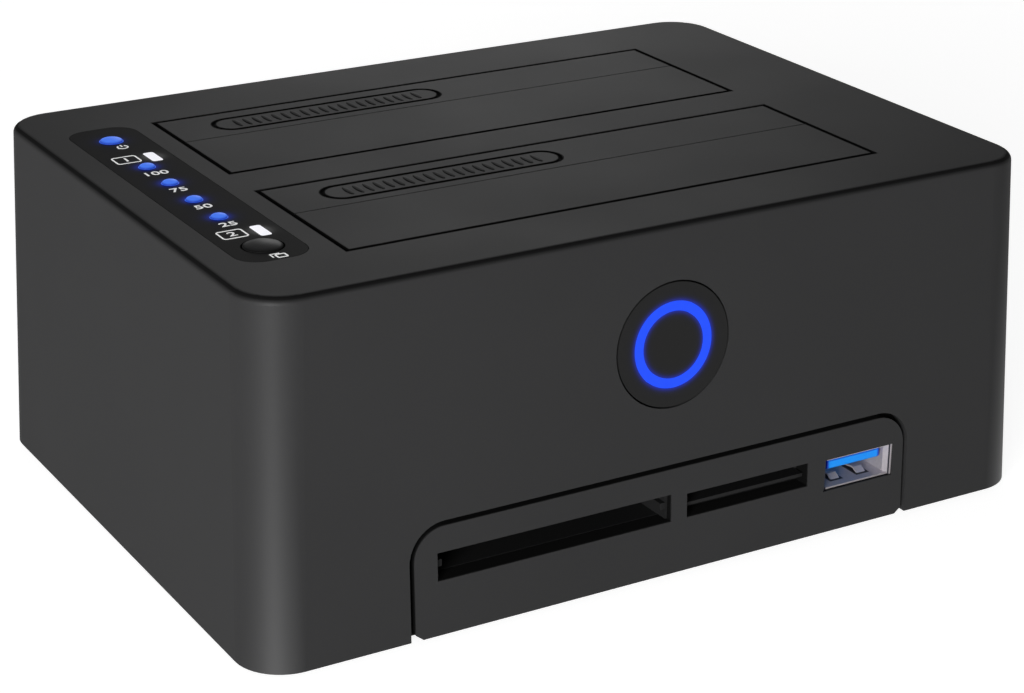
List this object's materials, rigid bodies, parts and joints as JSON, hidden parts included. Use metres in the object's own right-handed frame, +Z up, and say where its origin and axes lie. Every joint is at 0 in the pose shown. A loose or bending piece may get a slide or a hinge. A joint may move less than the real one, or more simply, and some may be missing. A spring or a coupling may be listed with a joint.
{
  "type": "drive duplicator",
  "caption": "Desktop drive duplicator: drafted case with sprung lids over the drive bays, lit power button, status strip, card slots and a USB socket.",
  "frame": {"origin": "middle of the case, on the plane that the rubber feet stand on", "axes": "+X to the right along the front, +Y to the back, +Z up"},
  "size_m": [0.152, 0.1116, 0.0635],
  "materials": {
    "case_plastic": "fine satin texture, near black",
    "base_plastic": "moulded, near black",
    "well_plastic": "moulded, black",
    "button_plastic": "smooth, black",
    "strip_film": "printed film, matt black",
    "ring_glow": "clear, lit blue",
    "blue_glow": "clear, lit blue",
    "white_glow": "clear, lit white",
    "rubber": "matt",
    "steel": "drawn wire",
    "screw_steel": "black zinc",
    "socket_metal": "bright, tinned",
    "board_green": "solder mask",
    "chip_black": "moulded resin",
    "contact_gold": "gold plated",
    "usb_blue": "bright blue",
    "socket_plastic": "glass-filled, black",
    "plunger_plastic": "plain",
    "can_metal": "sleeve and can",
    "led_white": "resin",
    "cable_white": "plain"
  },
  "bodies": {
    "case": {"base_plate": "base_plastic", "base_screws": "screw_steel", "board_link_header": "socket_plastic", "board_link_socket": "socket_plastic", "board_screws": "screw_steel", "bridge_chip": "chip_black", "cable_plugs": "cable_white", "capacitors": "can_metal", "card_board": "board_green", "cf_pins": "contact_gold", "cf_socket": "socket_plastic", "clone_controller_chip": "chip_black", "clone_switch": "socket_plastic", "dc_inlet": "socket_plastic", "dc_inlet_pin": "contact_gold", "drive_well_front": "well_plastic", "drive_well_rear": "well_plastic", "flap_spring_front": "steel", "flap_spring_rear": "steel", "front_port_panel": "case_plastic", "hinge_pin_front": "steel", "hinge_pin_rear": "steel", "leds": "led_white", "main_board": "board_green", "power_board": "board_green", "power_cable": "cable_white", "power_coils": "chip_black", "power_lens": "blue_glow", "power_switch": "socket_plastic", "progress_lens_100": "blue_glow", "progress_lens_25": "blue_glow", "progress_lens_50": "blue_glow", "progress_lens_75": "blue_glow", "reader_chip": "chip_black", "rubber_feet": "rubber", "sata_contacts_front": "contact_gold", "sata_contacts_rear": "contact_gold", "sata_socket_front": "socket_plastic", "sata_socket_rear": "socket_plastic", "sd_contacts": "contact_gold", "sd_socket": "socket_plastic", "source_lens": "white_glow", "status_board": "board_green", "status_cable": "cable_white", "status_strip": "strip_film", "target_lens": "white_glow", "top_shell": "case_plastic", "usb_a_contacts": "contact_gold", "usb_a_shell": "socket_metal", "usb_a_tongue": "usb_blue", "usb_b_shell": "socket_metal", "usb_b_tongue": "usb_blue", "well_screws": "screw_steel"},
    "front_flap": {"bay_flap_front": "case_plastic"},
    "rear_flap": {"bay_flap_rear": "case_plastic"},
    "power_key": {"power_button": "button_plastic", "power_light_ring": "ring_glow", "power_switch_plunger": "plunger_plastic"},
    "clone_key": {"clone_button": "button_plastic", "clone_switch_plunger": "plunger_plastic"}
  },
  "joints": [
    {"name": "front_flap_hinge", "type": "hinge", "parent": "case", "child": "front_flap", "pos_m": [0, -0.0079, 0.0594], "axis": [1, 0, 0], "range_deg": [0, 90], "stiffness_Nm_per_rad": 0.003, "springref_deg": -51.57, "deforming": ["flap_spring_front"]},
    {"name": "rear_flap_hinge", "type": "hinge", "parent": "case", "child": "rear_flap", "pos_m": [0, 0.03565, 0.0594], "axis": [1, 0, 0], "range_deg": [0, 90], "stiffness_Nm_per_rad": 0.003, "springref_deg": -51.57, "deforming": ["flap_spring_rear"]},
    {"name": "power_press", "type": "slide", "parent": "case", "child": "power_key", "axis": [0, 1, 0], "range_m": [0, 0.0008], "stiffness_N_per_m": 600, "springref_m": -0.001},
    {"name": "clone_press", "type": "slide", "parent": "case", "child": "clone_key", "axis": [0, 0, -1], "range_m": [0, 0.0005], "stiffness_N_per_m": 500, "springref_m": -0.0008}
  ]
}
